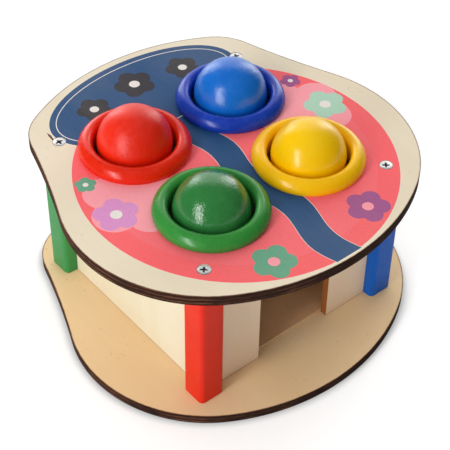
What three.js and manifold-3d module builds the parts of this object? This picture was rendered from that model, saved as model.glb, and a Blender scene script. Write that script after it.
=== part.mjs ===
// Ball pounding bench, in millimetres, +Z up.
// Two plywood plates with one ladybird outline stand one over the other on four square posts. Thin walls
// between the posts make a box that is open at the tail, with a ramp inside. Four balls stand in four
// rings on the upper plate and are struck down through them onto the ramp.
// The head of the outline is towards +Y, and the gate that the balls leave by is towards -Y.
import * as THREE from "three";
import { mergeVertices } from "three/addons/utils/BufferGeometryUtils.js";
import Module from "manifold-3d";

// Outline of both plates: five arcs a side, each tangent to the next, about the centre of the posts
const TAIL_Y = -111;
const HEAD_Y = 113.5;
const HALF_WIDTH = 111;
const TAIL_RADIUS = 135;
const FLANK_RADIUS = 86;
const WAIST_RADIUS = 520;
const CHEEK_RADIUS = 33;
const CHEEK_X = 51;
const BROW_RADIUS = 135;

// Heights of the stack
const BASE_THICKNESS = 6;
const POST_LENGTH = 93;
const TOP_THICKNESS = 6.8;

// Posts: square bars with eased long edges, at the corners of a square
const POST_SPACING = 136;
const POST_SIDE = 17;
const POST_EDGE_RADIUS = 3;

// Walls between the posts. The two beside the gate stand a little further out than the others
const WALL_THICKNESS = 4.3;
const WALL_OUTER_SPACING = 136.8;
const GATE_WALL_OUTER = 69.6;
const GATE_WIDTH = 54.2;

// Ramp: one flat strip between the posts, thinned at its foot
const RAMP_THICKNESS = 3;
const RAMP_SLOPE_DEG = 12;
const RAMP_FOOT_THICKNESS = 2;
const RAMP_SIDE_GAP = 0.4;
const RAMP_END_GAP = 0.4;
const REST_DEPTH = 8;
const REST_GAP = 0.05;

// Rings on the upper plate: a crest near the bore, a broad slope outside it and a small turn-in at the foot
const RING_SPACING_X = 72.8;
const RING_SPACING_Y = 71.2;
const RING_FOOT_DIAMETER = 65.6;
const RING_OUTER_DIAMETER = 67.2;
const RING_CREST_DIAMETER = 56;
const RING_BORE_DIAMETER = 49;
const RING_WIDEST_HEIGHT = 2.4;
const RING_BORE_HEIGHT = 4.3;
const RING_HEIGHT = 8.3;
const RING_OUTER_ROUNDNESS = 1.7;
const SPIGOT_DIAMETER = 52;
const SPIGOT_DEPTH = 4.8;

// Rubber grip rings in the holes of the upper plate, under the spigots of the rings
const PLATE_HOLE_DIAMETER = 52.6;
const GRIP_DIAMETER = 52;
const GRIP_BAND = 1.4;
const GRIP_NOSE_RADIUS = 0.6;
const GRIP_GAP = 0.3;
const GRIP_TO_BALL = 0.3;

// Balls, and how far the centre of each stands over the upper plate
const BALL_DIAMETER = 44.6;
const BALL_HEIGHTS = { red: 5.0, blue: 5.2, green: 1.6, yellow: 2.8 };

// Countersunk cross-head screws through the plates into the ends of the posts
const SCREW_HEAD_DIAMETER = 7.6;
const SCREW_SHANK_DIAMETER = 3.4;
const SCREW_LENGTH = 28;
const SCREW_POINT_LENGTH = 5;
const SCREW_RIM = 0.5;
const SCREW_CLEARANCE = 0.3;
const SCREW_SINK = 0.1;
const CROSS_LENGTH = 4.4;
const CROSS_WIDTH = 1;
const CROSS_DEPTH = 1.3;

// Flat sides that stand for one turn of each round piece, and steps of each arc of an outline
const RING_STEPS = 36;
const GRIP_STEPS = 28;
const BALL_STEPS = 28;
const HOLE_STEPS = 40;
const SCREW_STEPS = 16;
const PLATE_ARC_STEPS = 6;
const POST_ARC_STEPS = 2;

// Heights and places that follow
const POST_TOP = BASE_THICKNESS + POST_LENGTH;
const TOP_FACE = POST_TOP + TOP_THICKNESS;
const POST_X = POST_SPACING / 2;
const POST_INNER = POST_X - POST_SIDE / 2;
const WALL_OUTER = WALL_OUTER_SPACING / 2;
const WALL_INNER = WALL_OUTER - WALL_THICKNESS;
const WALL_MIDDLE = (WALL_OUTER + WALL_INNER) / 2;
const GATE_WALL_INNER = GATE_WALL_OUTER - WALL_THICKNESS;
const GATE_WALL_MIDDLE = (GATE_WALL_OUTER + GATE_WALL_INNER) / 2;
const BALL_RADIUS = BALL_DIAMETER / 2;

// Places of the rings and posts: x and y are the side of the middle that each is on
const CORNERS = [
  { ring: "red", post: "green", x: -1, y: 1 },
  { ring: "blue", post: "yellow", x: 1, y: 1 },
  { ring: "green", post: "red", x: -1, y: -1 },
  { ring: "yellow", post: "blue", x: 1, y: -1 },
];

// Materials
const PLYWOOD = { color: 0xebdec5, roughness: 0.6, metalness: 0 };
const STEEL = { color: 0xb8bcc2, roughness: 0.3, metalness: 0.9 };
const GREY_RUBBER = { color: 0x3a3a3c, roughness: 0.85, metalness: 0 };
const PAINTS = {
  red: { color: 0xf0321e, roughness: 0.3, metalness: 0 },
  blue: { color: 0x2366c8, roughness: 0.3, metalness: 0 },
  green: { color: 0x378c3e, roughness: 0.3, metalness: 0 },
  yellow: { color: 0xfdc106, roughness: 0.3, metalness: 0 },
};

const wasm = await Module();
wasm.setup();

// A closed geometry as a solid: shared vertices merged, and triangles without area left out
function solidOf(geometry) {
  const bare = geometry.clone();
  bare.deleteAttribute("normal");
  bare.deleteAttribute("uv");
  const merged = mergeVertices(bare, 1e-4);
  const corners = [];
  for (let i = 0; i < merged.index.count; i += 3) {
    const a = merged.index.getX(i);
    const b = merged.index.getX(i + 1);
    const c = merged.index.getX(i + 2);
    if (a !== b && b !== c && c !== a) corners.push(a, b, c);
  }
  const vertProperties = new Float32Array(merged.attributes.position.array);
  return new wasm.Manifold(new wasm.Mesh({ numProp: 3, vertProperties, triVerts: new Uint32Array(corners) }));
}

// A solid back as a geometry with flat-shaded faces
function geometryOf(solid) {
  const mesh = solid.getMesh();
  const geometry = new THREE.BufferGeometry();
  geometry.setAttribute("position", new THREE.BufferAttribute(mesh.vertProperties, 3));
  geometry.setIndex(new THREE.BufferAttribute(mesh.triVerts, 1));
  return geometry.toNonIndexed();
}

// One geometry with others cut out of it
function cut(geometry, tools) {
  let solid = solidOf(geometry);
  for (const tool of tools) solid = solid.subtract(solidOf(tool));
  return geometryOf(solid);
}

function lathe(points, segments) {
  const profile = points.map(([radius, height]) => new THREE.Vector2(radius, height));
  return new THREE.LatheGeometry(profile, segments).rotateX(Math.PI / 2);
}

function cylinder(diameter, bottom, top, segments) {
  const height = top - bottom;
  const geometry = new THREE.CylinderGeometry(diameter / 2, diameter / 2, height, segments);
  return geometry.rotateX(Math.PI / 2).translate(0, 0, bottom + height / 2);
}

const bench = new THREE.Group();

function addPiece(name, geometry, material, x, y, z) {
  const mesh = new THREE.Mesh(geometry, new THREE.MeshStandardMaterial(material));
  mesh.name = name;
  mesh.position.set(x, y, z);
  bench.add(mesh);
  return mesh;
}

// Centre of a circle outside two others that touches both, on the right of the line between them
function touchingCentre(first, firstRadius, second, secondRadius, radius) {
  const reachFirst = firstRadius + radius;
  const reachSecond = secondRadius + radius;
  const along = second.clone().sub(first);
  const apart = along.length();
  const foot = (reachFirst ** 2 - reachSecond ** 2 + apart ** 2) / (2 * apart);
  const off = Math.sqrt(reachFirst ** 2 - foot ** 2);
  along.normalize();
  const across = new THREE.Vector2(along.y, -along.x);
  return first.clone().addScaledVector(along, foot).addScaledVector(across, off);
}

function ladybirdOutline() {
  const tail = new THREE.Vector2(0, TAIL_Y + TAIL_RADIUS);
  const flankX = HALF_WIDTH - FLANK_RADIUS;
  const flankDrop = Math.sqrt((TAIL_RADIUS - FLANK_RADIUS) ** 2 - flankX ** 2);
  const flank = new THREE.Vector2(flankX, tail.y - flankDrop);
  const brow = new THREE.Vector2(0, HEAD_Y - BROW_RADIUS);
  const cheekRise = Math.sqrt((BROW_RADIUS - CHEEK_RADIUS) ** 2 - CHEEK_X ** 2);
  const cheek = new THREE.Vector2(CHEEK_X, brow.y + cheekRise);
  const waist = touchingCentre(flank, FLANK_RADIUS, cheek, CHEEK_RADIUS, WAIST_RADIUS);
  const angle = (from, to) => Math.atan2(to.y - from.y, to.x - from.x);
  const tailEnd = angle(tail, flank);
  const flankEnd = angle(flank, waist);
  const waistStart = angle(waist, flank);
  const waistEnd = angle(waist, cheek);
  const cheekStart = angle(cheek, waist);
  const cheekEnd = angle(brow, cheek);

  const shape = new THREE.Shape();
  shape.absarc(tail.x, tail.y, TAIL_RADIUS, -Math.PI / 2, tailEnd, false);
  shape.absarc(flank.x, flank.y, FLANK_RADIUS, tailEnd, flankEnd, false);
  shape.absarc(waist.x, waist.y, WAIST_RADIUS, waistStart, waistEnd, true);
  shape.absarc(cheek.x, cheek.y, CHEEK_RADIUS, cheekStart, cheekEnd, false);
  shape.absarc(brow.x, brow.y, BROW_RADIUS, cheekEnd, Math.PI - cheekEnd, false);
  shape.absarc(-cheek.x, cheek.y, CHEEK_RADIUS, Math.PI - cheekEnd, Math.PI - cheekStart, false);
  shape.absarc(-waist.x, waist.y, WAIST_RADIUS, Math.PI - waistEnd, Math.PI - waistStart, true);
  shape.absarc(-flank.x, flank.y, FLANK_RADIUS, Math.PI - flankEnd, Math.PI - tailEnd, false);
  shape.absarc(tail.x, tail.y, TAIL_RADIUS, Math.PI - tailEnd, Math.PI * 1.5, false);
  return shape;
}

// A screw's hole: the cone for its head and the hole for its shank, with clearance all round
function screwHole(depth) {
  const headRadius = SCREW_HEAD_DIAMETER / 2 + SCREW_CLEARANCE;
  const shankRadius = SCREW_SHANK_DIAMETER / 2 + SCREW_CLEARANCE;
  const straight = SCREW_SINK + SCREW_RIM;
  const coneEnd = straight + headRadius - shankRadius;
  const outside = 1;
  return lathe([[0, -depth], [shankRadius, -depth], [shankRadius, -coneEnd], [headRadius, -straight],
    [headRadius, outside], [0, outside]], SCREW_STEPS);
}

// A plate from its underside up, with the given holes; each hole tool stands where it is cut
function plate(thickness, holes) {
  const options = { depth: thickness, bevelEnabled: false, curveSegments: PLATE_ARC_STEPS };
  return cut(new THREE.ExtrudeGeometry(ladybirdOutline(), options), holes);
}

function upperPlate() {
  const holes = [];
  for (const corner of CORNERS) {
    const bore = cylinder(PLATE_HOLE_DIAMETER, -1, TOP_THICKNESS + 1, HOLE_STEPS);
    holes.push(bore.translate(corner.x * RING_SPACING_X / 2, corner.y * RING_SPACING_Y / 2, 0));
    holes.push(screwHole(TOP_THICKNESS + 1).translate(corner.x * POST_X, corner.y * POST_X, TOP_THICKNESS));
  }
  addPiece("top_plate", plate(TOP_THICKNESS, holes), PLYWOOD, 0, 0, POST_TOP);
}

function lowerPlate() {
  const holes = CORNERS.map((corner) => screwHole(BASE_THICKNESS + 1).rotateX(Math.PI)
    .translate(corner.x * POST_X, corner.y * POST_X, 0));
  addPiece("base_plate", plate(BASE_THICKNESS, holes), PLYWOOD, 0, 0, 0);
}

function postSection() {
  const half = POST_SIDE / 2;
  const flat = half - POST_EDGE_RADIUS;
  const shape = new THREE.Shape();
  shape.absarc(flat, -flat, POST_EDGE_RADIUS, -Math.PI / 2, 0, false);
  shape.absarc(flat, flat, POST_EDGE_RADIUS, 0, Math.PI / 2, false);
  shape.absarc(-flat, flat, POST_EDGE_RADIUS, Math.PI / 2, Math.PI, false);
  shape.absarc(-flat, -flat, POST_EDGE_RADIUS, Math.PI, Math.PI * 1.5, false);
  return shape;
}

// A post with a pilot hole for a screw in each end
function posts() {
  const pilot = SCREW_SHANK_DIAMETER + 2 * SCREW_CLEARANCE;
  const lowerDepth = SCREW_LENGTH - BASE_THICKNESS + 1;
  const upperDepth = SCREW_LENGTH - TOP_THICKNESS + 1;
  const options = { depth: POST_LENGTH, bevelEnabled: false, curveSegments: POST_ARC_STEPS };
  for (const corner of CORNERS) {
    const bar = new THREE.ExtrudeGeometry(postSection(), options);
    const lower = cylinder(pilot, -1, lowerDepth, SCREW_STEPS);
    const upper = cylinder(pilot, POST_LENGTH - upperDepth, POST_LENGTH + 1, SCREW_STEPS);
    addPiece(`${corner.post}_post`, cut(bar, [lower, upper]), PAINTS[corner.post],
      corner.x * POST_X, corner.y * POST_X, BASE_THICKNESS);
  }
}

// Side, head and gate walls butt against the posts and fill the height between the plates
function walls() {
  const between = 2 * POST_INNER;
  const middleHeight = BASE_THICKNESS + POST_LENGTH / 2;
  const side = () => new THREE.BoxGeometry(WALL_THICKNESS, between, POST_LENGTH);
  addPiece("left_wall", side(), PLYWOOD, -WALL_MIDDLE, 0, middleHeight);
  addPiece("right_wall", side(), PLYWOOD, WALL_MIDDLE, 0, middleHeight);
  const head = new THREE.BoxGeometry(between, WALL_THICKNESS, POST_LENGTH);
  addPiece("head_wall", head, PLYWOOD, 0, WALL_MIDDLE, middleHeight);
  const jambWidth = POST_INNER - GATE_WIDTH / 2;
  const jambX = (POST_INNER + GATE_WIDTH / 2) / 2;
  const jamb = () => new THREE.BoxGeometry(jambWidth, WALL_THICKNESS, POST_LENGTH);
  addPiece("gate_jamb_left", jamb(), PLYWOOD, -jambX, -GATE_WALL_MIDDLE, middleHeight);
  addPiece("gate_jamb_right", jamb(), PLYWOOD, jambX, -GATE_WALL_MIDDLE, middleHeight);
}

// The ramp's side view, y against z, drawn with its foot at the gate and its high end at the head wall
function ramp() {
  const rise = Math.tan(THREE.MathUtils.degToRad(RAMP_SLOPE_DEG));
  const upright = RAMP_THICKNESS / Math.cos(THREE.MathUtils.degToRad(RAMP_SLOPE_DEG));
  const footY = -GATE_WALL_INNER + RAMP_END_GAP;
  const headY = WALL_INNER - RAMP_END_GAP;
  const footTop = BASE_THICKNESS + RAMP_FOOT_THICKNESS;
  const topAt = (y) => footTop + (y - footY) * rise;
  const flatEndY = footY + (upright - RAMP_FOOT_THICKNESS) / rise;
  const width = 2 * (POST_INNER - RAMP_SIDE_GAP);
  const side = new THREE.Shape();
  side.moveTo(footY, BASE_THICKNESS);
  side.lineTo(flatEndY, BASE_THICKNESS);
  side.lineTo(headY, topAt(headY) - upright);
  side.lineTo(headY, topAt(headY));
  side.lineTo(footY, footTop);
  side.closePath();
  const strip = new THREE.ExtrudeGeometry(side, { depth: width, bevelEnabled: false });
  const place = new THREE.Matrix4().makeBasis(
    new THREE.Vector3(0, 1, 0), new THREE.Vector3(0, 0, 1), new THREE.Vector3(1, 0, 0));
  strip.applyMatrix4(place);
  addPiece("ramp", strip, PLYWOOD, -width / 2, 0, 0);

  const restFront = WALL_INNER - REST_DEPTH;
  const restTop = topAt(restFront) - upright - REST_GAP;
  const restHeight = restTop - BASE_THICKNESS;
  addPiece("ramp_rest", new THREE.BoxGeometry(width, REST_DEPTH, restHeight), PLYWOOD,
    0, WALL_INNER - REST_DEPTH / 2, BASE_THICKNESS + restHeight / 2);
}

// A ring's section: a roll that slopes away outside its crest, with a spigot that fits the plate's hole
function ringProfile() {
  const bore = RING_BORE_DIAMETER / 2;
  const spigot = SPIGOT_DIAMETER / 2;
  const crest = RING_CREST_DIAMETER / 2;
  const outer = RING_OUTER_DIAMETER / 2;
  const points = [[bore, -SPIGOT_DEPTH], [spigot, -SPIGOT_DEPTH], [spigot, 0], [RING_FOOT_DIAMETER / 2, 0]];
  const bend = 2 / RING_OUTER_ROUNDNESS;
  const outerSteps = 7;
  for (let i = 0; i <= outerSteps; i += 1) {
    const turn = Math.PI / 2 * i / outerSteps;
    points.push([crest + (outer - crest) * Math.max(Math.cos(turn), 0) ** bend,
      RING_WIDEST_HEIGHT + (RING_HEIGHT - RING_WIDEST_HEIGHT) * Math.sin(turn) ** bend]);
  }
  const innerSteps = 4;
  for (let i = 1; i <= innerSteps; i += 1) {
    const turn = Math.PI / 2 * i / innerSteps;
    points.push([crest - (crest - bore) * Math.sin(turn),
      RING_BORE_HEIGHT + (RING_HEIGHT - RING_BORE_HEIGHT) * Math.max(Math.cos(turn), 0)]);
  }
  points.push([bore, -SPIGOT_DEPTH]);
  return points;
}

// A grip ring's section: a band in the plate's hole and a rounded lip that bears under the ball
function gripProfile(ballHeight) {
  const outer = GRIP_DIAMETER / 2;
  const band = outer - GRIP_BAND;
  const top = -SPIGOT_DEPTH - GRIP_GAP;
  const bottom = -TOP_THICKNESS + GRIP_GAP;
  const lip = (top + bottom) / 2;
  const reach = BALL_RADIUS + GRIP_NOSE_RADIUS + GRIP_TO_BALL;
  const nose = Math.sqrt(reach ** 2 - (ballHeight - lip) ** 2);
  const points = [[outer, bottom], [outer, top], [band, top]];
  const steps = 5;
  for (let i = 0; i <= steps; i += 1) {
    const turn = Math.PI / 2 + Math.PI * i / steps;
    points.push([nose + GRIP_NOSE_RADIUS * Math.cos(turn), lip + GRIP_NOSE_RADIUS * Math.sin(turn)]);
  }
  points.push([band, bottom], [outer, bottom]);
  return points;
}

function ringsAndBalls() {
  for (const corner of CORNERS) {
    const x = corner.x * RING_SPACING_X / 2;
    const y = corner.y * RING_SPACING_Y / 2;
    const height = BALL_HEIGHTS[corner.ring];
    const paint = PAINTS[corner.ring];
    addPiece(`${corner.ring}_ring`, lathe(ringProfile(), RING_STEPS), paint, x, y, TOP_FACE);
    addPiece(`${corner.ring}_grip_ring`, lathe(gripProfile(height), GRIP_STEPS), GREY_RUBBER, x, y, TOP_FACE);
    const ball = new THREE.SphereGeometry(BALL_RADIUS, BALL_STEPS, BALL_STEPS / 2).rotateX(Math.PI / 2);
    addPiece(`${corner.ring}_ball`, ball, paint, x, y, TOP_FACE + height);
  }
}

// A screw with its head's face at z = 0 and its point down
function screw() {
  const head = SCREW_HEAD_DIAMETER / 2;
  const shank = SCREW_SHANK_DIAMETER / 2;
  const coneEnd = SCREW_RIM + head - shank;
  const body = lathe([[0, -SCREW_LENGTH], [shank, -SCREW_LENGTH + SCREW_POINT_LENGTH], [shank, -coneEnd],
    [head, -SCREW_RIM], [head, 0], [0, 0]], SCREW_STEPS);
  const slot = () => new THREE.BoxGeometry(CROSS_LENGTH, CROSS_WIDTH, 2 * CROSS_DEPTH);
  return cut(body, [slot(), slot().rotateZ(Math.PI / 2)]);
}

function screws() {
  for (const corner of CORNERS) {
    const x = corner.x * POST_X;
    const y = corner.y * POST_X;
    addPiece(`top_screw_${corner.post}_post`, screw(), STEEL, x, y, TOP_FACE - SCREW_SINK);
    addPiece(`base_screw_${corner.post}_post`, screw().rotateX(Math.PI), STEEL, x, y, SCREW_SINK);
  }
}

lowerPlate();
posts();
walls();
ramp();
upperPlate();
ringsAndBalls();
screws();

// The origin is under the middle of the outline, at the height that the bench stands on
bench.position.y = -(HEAD_Y + TAIL_Y) / 2;

export default bench;
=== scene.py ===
# Ball pounding bench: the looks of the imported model, in metres, +Z up, head towards +Y, gate towards -Y.
import math
from functools import partial

import bmesh
import bpy
import numpy as np
from mathutils import Matrix, Vector
from mathutils.geometry import delaunay_2d_cdt


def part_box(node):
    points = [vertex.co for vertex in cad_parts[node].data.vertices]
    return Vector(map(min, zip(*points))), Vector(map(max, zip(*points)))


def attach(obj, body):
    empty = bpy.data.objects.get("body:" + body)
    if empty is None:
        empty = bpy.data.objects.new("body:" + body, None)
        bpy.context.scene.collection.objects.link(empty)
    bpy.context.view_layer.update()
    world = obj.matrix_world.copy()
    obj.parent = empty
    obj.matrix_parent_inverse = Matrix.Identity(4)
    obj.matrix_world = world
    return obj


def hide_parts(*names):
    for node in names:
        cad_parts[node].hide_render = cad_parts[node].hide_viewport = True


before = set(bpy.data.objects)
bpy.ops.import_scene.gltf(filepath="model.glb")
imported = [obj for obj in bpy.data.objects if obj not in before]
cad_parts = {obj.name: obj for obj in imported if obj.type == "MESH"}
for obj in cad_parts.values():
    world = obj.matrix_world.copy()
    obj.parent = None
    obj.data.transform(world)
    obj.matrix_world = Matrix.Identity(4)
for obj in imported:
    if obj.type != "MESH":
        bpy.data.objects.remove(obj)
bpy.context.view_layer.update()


# Camera
# The photograph was taken from the tail, to the left and well above, with a long lens.
# Its place and turn were worked out from the outline of the plates, the rings and the posts.
MM = 0.001
camera_place = Vector((-380.5, -455.4, 609.2)) * MM
camera_turn = math.radians(-40.23)
camera_rise = math.radians(43.45)
camera_roll = math.radians(0.947)

backward = Vector((
    math.sin(camera_turn) * math.cos(camera_rise),
    -math.cos(camera_turn) * math.cos(camera_rise),
    math.sin(camera_rise),
))
level = Vector((math.cos(camera_turn), math.sin(camera_turn), 0))
above = backward.cross(level)
sideways = level * math.cos(camera_roll) + above * math.sin(camera_roll)
upward = above * math.cos(camera_roll) - level * math.sin(camera_roll)
camera_data = bpy.data.cameras.new("photograph")
camera_data.lens = 106.05
camera_data.sensor_width = 36
camera_data.clip_start = 0.05
camera = bpy.data.objects.new("photograph", camera_data)
camera_facing = Matrix((sideways, upward, backward)).transposed().to_4x4()
camera.matrix_world = Matrix.Translation(camera_place) @ camera_facing
bpy.context.collection.objects.link(camera)
bpy.context.scene.camera = camera
bpy.context.scene.view_settings.view_transform = "Standard"


# Floor, surroundings and lamps
# A white studio sweep. A tall soft box stands low at the left, and two more stand behind the toy with a
# white backdrop between them. The room is dim, most of all at the right. The floor keeps faint shadows.
def add_node(tree, kind, inputs=None, **settings):
    """Adds a node. An input is a value, or another node or its output, which is then joined to it."""
    node = tree.nodes.new(kind)
    for name, value in settings.items():
        setattr(node, name, value)
    for name, value in (inputs or {}).items():
        if isinstance(value, bpy.types.Node):
            value = value.outputs[0]
        if isinstance(value, bpy.types.NodeSocket):
            tree.links.new(value, node.inputs[name])
        else:
            node.inputs[name].default_value = value
    return node


def maths(tree, operation, *values):
    return add_node(tree, "ShaderNodeMath", dict(enumerate(values)), operation=operation).outputs[0]


def measured(tree, operation, *vectors):
    """The number that comes of one vector or two, such as their dot product."""
    node = add_node(tree, "ShaderNodeVectorMath", dict(enumerate(vectors)), operation=operation)
    return node.outputs["Value"]


def spread(tree, value, low, high, new_low=0.0, new_high=1.0, smooth=True):
    """Maps low..high to new_low..new_high, and holds the ends."""
    return add_node(tree, "ShaderNodeMapRange", {
        "Value": value, "From Min": low, "From Max": high, "To Min": new_low, "To Max": new_high,
    }, interpolation_type="SMOOTHSTEP" if smooth else "LINEAR").outputs[0]


def either(tree, share, first, second):
    """The first value where the share is 0, the second where it is 1."""
    return add_node(tree, "ShaderNodeMix", {0: share, 2: first, 3: second}).outputs[0]


def new_material(name):
    """A material with an empty node tree, and the place on the object, which its patterns go by."""
    material = bpy.data.materials.new(name)
    material.use_nodes = True
    tree = material.node_tree
    tree.nodes.clear()
    return material, tree, add_node(tree, "ShaderNodeTexCoord").outputs["Object"]


ROOM_LIGHT = 0.35
BACKDROP = ((0.629, 0.749, 0.208), 0.60, 0.82, 1.2)
OVERHEAD = ((0, 0, 1), 0.40, 1.0, 0.35)
DARK_SIDE = ((0.75, -0.64, 0.15), 0.30, 0.95, -0.25)
ROOM_SEEN = 0.05
BACKDROP_SEEN = 1.4
WHITE = (1, 1, 1, 1)

world = bpy.data.worlds.new("white_room")
world.use_nodes = True
bpy.context.scene.world = world
room = world.node_tree
room.nodes.clear()
ray = add_node(room, "ShaderNodeLightPath").outputs
way = add_node(room, "ShaderNodeTexCoord").outputs["Generated"]
lit = ROOM_LIGHT
shares = []
for middle_way, edge, full, light in (BACKDROP, OVERHEAD, DARK_SIDE):
    shares.append(spread(room, measured(room, "DOT_PRODUCT", way, middle_way), edge, full))
    lit = maths(room, "MULTIPLY_ADD", shares[-1], light, lit)
mirrored = spread(room, shares[0], 0, 1, ROOM_SEEN, BACKDROP_SEEN, smooth=False)
mirror = maths(room, "MAXIMUM", ray["Is Glossy Ray"], ray["Is Transmission Ray"])
strength = either(room, ray["Is Camera Ray"], either(room, mirror, lit, mirrored), 1.0)
sky = add_node(room, "ShaderNodeBackground", {"Color": WHITE, "Strength": strength})
add_node(room, "ShaderNodeOutputWorld", {"Surface": sky})

FLOOR_SIZE = 6.0
FLOOR_WHITE = 0.80
# Light of the floor's own, which lifts it to white for the camera: more at the right and far from the toy
RIGHT_WAY = (0.47, -0.88, 0)
RIGHT_REACH = 0.14
LIFT_LEFT = 0.27
LIFT_RIGHT = 0.45
FAR_FROM = 0.4
FAR_TO = 1.0
LIFT_FAR = 0.7
LIFT_IN_GLOSS = 0.15
LIFT_IN_LIGHT = 0.06
PAINTED_SHADE_REACH = 0.005
PAINTED_SHADE_SHARE = 0.8

floor_material, tree, place = new_material("white_sweep")
ray = add_node(tree, "ShaderNodeLightPath").outputs
across = measured(tree, "DOT_PRODUCT", place, RIGHT_WAY)
near_lift = spread(tree, across, -RIGHT_REACH, RIGHT_REACH, LIFT_LEFT, LIFT_RIGHT, smooth=False)
far_lift = spread(tree, measured(tree, "LENGTH", place), FAR_FROM, FAR_TO, 0, LIFT_FAR, smooth=False)
# Painted shade: for the camera the floor is darker where it meets the toy, by ambient occlusion.
painted_contact_shade = add_node(tree, "ShaderNodeAmbientOcclusion", {"Distance": PAINTED_SHADE_REACH}).outputs["AO"]
painted_contact_shade = spread(tree, painted_contact_shade, 0, 1, 1 - PAINTED_SHADE_SHARE, 1, smooth=False)
seen_lift = maths(tree, "MULTIPLY", maths(tree, "ADD", near_lift, far_lift), painted_contact_shade)
lift = either(tree, ray["Is Glossy Ray"], LIFT_IN_LIGHT, LIFT_IN_GLOSS)
lift = either(tree, ray["Is Camera Ray"], lift, seen_lift)
white = either(tree, ray["Is Camera Ray"], FLOOR_WHITE, maths(tree, "MULTIPLY", painted_contact_shade, FLOOR_WHITE))
matt = add_node(tree, "ShaderNodeBsdfDiffuse", {"Color": white})
glow = add_node(tree, "ShaderNodeEmission", {"Color": WHITE, "Strength": lift})
both = add_node(tree, "ShaderNodeAddShader", {0: matt, 1: glow})
add_node(tree, "ShaderNodeOutputMaterial", {"Surface": both})

floor_mesh = bpy.data.meshes.new("floor")
reach = FLOOR_SIZE / 2
floor_corners = [(-reach, -reach, 0), (reach, -reach, 0), (reach, reach, 0), (-reach, reach, 0)]
floor_mesh.from_pydata(floor_corners, [], [(0, 1, 2, 3)])
floor_mesh.materials.append(floor_material)
floor = bpy.data.objects.new("floor", floor_mesh)
bpy.context.collection.objects.link(floor)

AIM_HEIGHT = 0.09
LAMP_DISTANCE = 1.3


def soft_box(name, turn, rise, lean, width, height, watts):
    """A soft box that faces the toy from a compass turn and a rise over the floor, leaning to its side."""
    lamp = bpy.data.lights.new(name, "AREA")
    lamp.shape = "RECTANGLE"
    lamp.size = width
    lamp.size_y = height
    lamp.energy = watts
    turn, rise, lean = math.radians(turn), math.radians(rise), math.radians(lean)
    way = Vector((math.cos(turn) * math.cos(rise), math.sin(turn) * math.cos(rise), math.sin(rise)))
    stand = Matrix.Translation(Vector((0, 0, AIM_HEIGHT)) + way * LAMP_DISTANCE)
    facing = way.to_track_quat("Z", "Y").to_matrix().to_4x4()
    box = bpy.data.objects.new(name, lamp)
    box.matrix_world = stand @ facing @ Matrix.Rotation(lean, 4, "Z")
    bpy.context.collection.objects.link(box)


soft_box("left_soft_box", turn=-169, rise=22.5, lean=21, width=0.2, height=1.1, watts=10.6)
for name, turn in (("back_left_soft_box", 80), ("back_right_soft_box", 22)):
    soft_box(name, turn, rise=15, lean=0, width=0.42, height=0.9, watts=2.6)


# Upper and lower plate
# Two sheets of plywood with one ladybird outline, cut out by laser, which leaves their edges charred
# dark brown. The upper one has a printed picture, four holes for the rings and four countersunk holes.
def srgb(red, green, blue):
    """A colour given as 0 to 255 on a screen, as the linear colour that shaders use."""
    def linear(value):
        value /= 255
        return value / 12.92 if value <= 0.04045 else ((value + 0.055) / 1.055) ** 2.4
    return (linear(red), linear(green), linear(blue), 1.0)


TAIL_Y = -111
HEAD_Y = 113.5
HALF_WIDTH = 111
TAIL_RADIUS = 135
FLANK_RADIUS = 86
WAIST_RADIUS = 520
CHEEK_RADIUS = 33
CHEEK_X = 51
BROW_RADIUS = 135
KERF = 0.1
POINT_SPACING = 1.6


def arc(centre, radius, start, end, hollow=False):
    """Points along an arc, and at each the way that leads out of the plate."""
    count = max(2, math.ceil(abs(end - start) * radius / POINT_SPACING))
    turns = np.linspace(start, end, count, endpoint=False)
    ways = np.column_stack((np.cos(turns), np.sin(turns)))
    return np.array(centre) + radius * ways, (-ways if hollow else ways)


def angle(start, end):
    return math.atan2(end[1] - start[1], end[0] - start[0])


def touching_centre(first, first_radius, second, second_radius, radius):
    """Centre of a circle that touches two others from outside, on the right of the line between them."""
    apart = second - first
    length = np.linalg.norm(apart)
    reach = first_radius + radius
    foot = (reach ** 2 - (second_radius + radius) ** 2 + length ** 2) / (2 * length)
    along = apart / length
    return first + along * foot + np.array((along[1], -along[0])) * math.sqrt(reach ** 2 - foot ** 2)


def ladybird_outline():
    """The plate's outline about the middle of the posts, anticlockwise from the tail, and its ways out."""
    tail = np.array((0, TAIL_Y + TAIL_RADIUS))
    flank_x = HALF_WIDTH - FLANK_RADIUS
    flank = np.array((flank_x, tail[1] - math.sqrt((TAIL_RADIUS - FLANK_RADIUS) ** 2 - flank_x ** 2)))
    brow = np.array((0, HEAD_Y - BROW_RADIUS))
    cheek = np.array((CHEEK_X, brow[1] + math.sqrt((BROW_RADIUS - CHEEK_RADIUS) ** 2 - CHEEK_X ** 2)))
    waist = touching_centre(flank, FLANK_RADIUS, cheek, CHEEK_RADIUS, WAIST_RADIUS)
    arcs = [
        arc(tail, TAIL_RADIUS, -math.pi / 2, angle(tail, flank)),
        arc(flank, FLANK_RADIUS, angle(tail, flank), angle(flank, waist)),
        arc(waist, WAIST_RADIUS, angle(waist, flank), angle(waist, cheek), hollow=True),
        arc(cheek, CHEEK_RADIUS, angle(cheek, waist), angle(brow, cheek)),
        arc(brow, BROW_RADIUS, angle(brow, cheek), math.pi / 2),
    ]
    points = np.vstack([part[0] for part in arcs])
    ways = np.vstack([part[1] for part in arcs])
    mirror = np.array((-1, 1))
    points = np.vstack((points, (0, HEAD_Y), (points[1:] * mirror)[::-1]))
    ways = np.vstack((ways, (0, 1), (ways[1:] * mirror)[::-1]))
    return points - KERF * ways, ways


def shaped(centre, count, radius):
    """A closed loop about a centre, whose radius is a number or a function of the turn."""
    turns = np.linspace(0, math.tau, count, endpoint=False)
    reach = radius(turns) if callable(radius) else radius
    return np.array(centre) + np.column_stack((np.cos(turns) * reach, np.sin(turns) * reach))


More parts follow.
